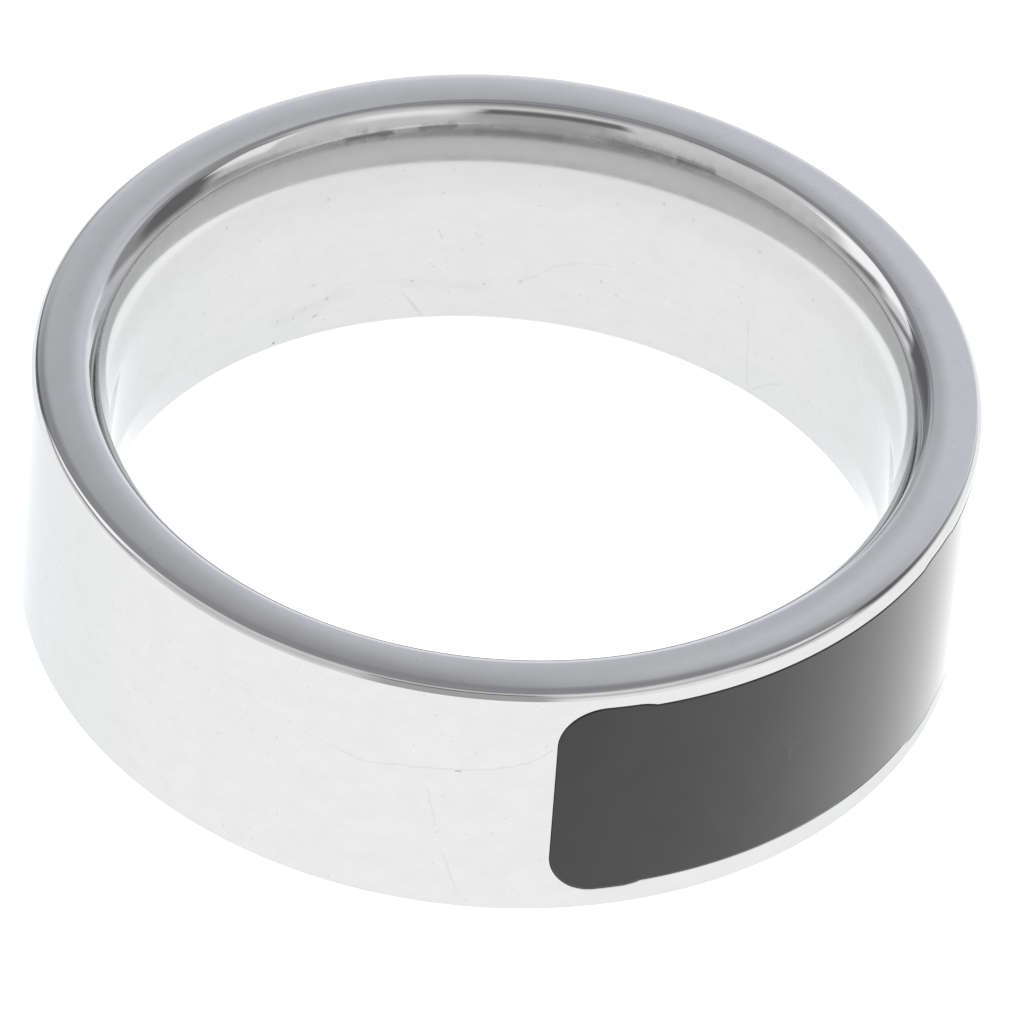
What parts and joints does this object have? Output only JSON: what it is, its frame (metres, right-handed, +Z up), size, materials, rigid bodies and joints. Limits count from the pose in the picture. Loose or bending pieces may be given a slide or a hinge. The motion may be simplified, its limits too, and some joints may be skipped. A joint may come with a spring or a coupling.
{
  "type": "smart ring",
  "caption": "Mirror-polished steel finger ring with a comfort-fit bore and a dark resin inlay, let flush into its outside, over the chip and aerial.",
  "frame": {"origin": "middle of the lower side face's plane, on the ring's axis", "axes": "+Z up along the ring's axis and through the finger hole; azimuth 0 is +X; the picture looks along +Y, so its front is -Y; the inlay's middle faces azimuth -22 degrees"},
  "size_m": [0.024, 0.024, 0.0074],
  "materials": {
    "steel": "mirror-polished stainless steel",
    "resin": "dark cast resin, polished flush with the steel"
  },
  "bodies": {
    "root": {"band": "steel", "inlay": "resin"}
  },
  "joints": []
}
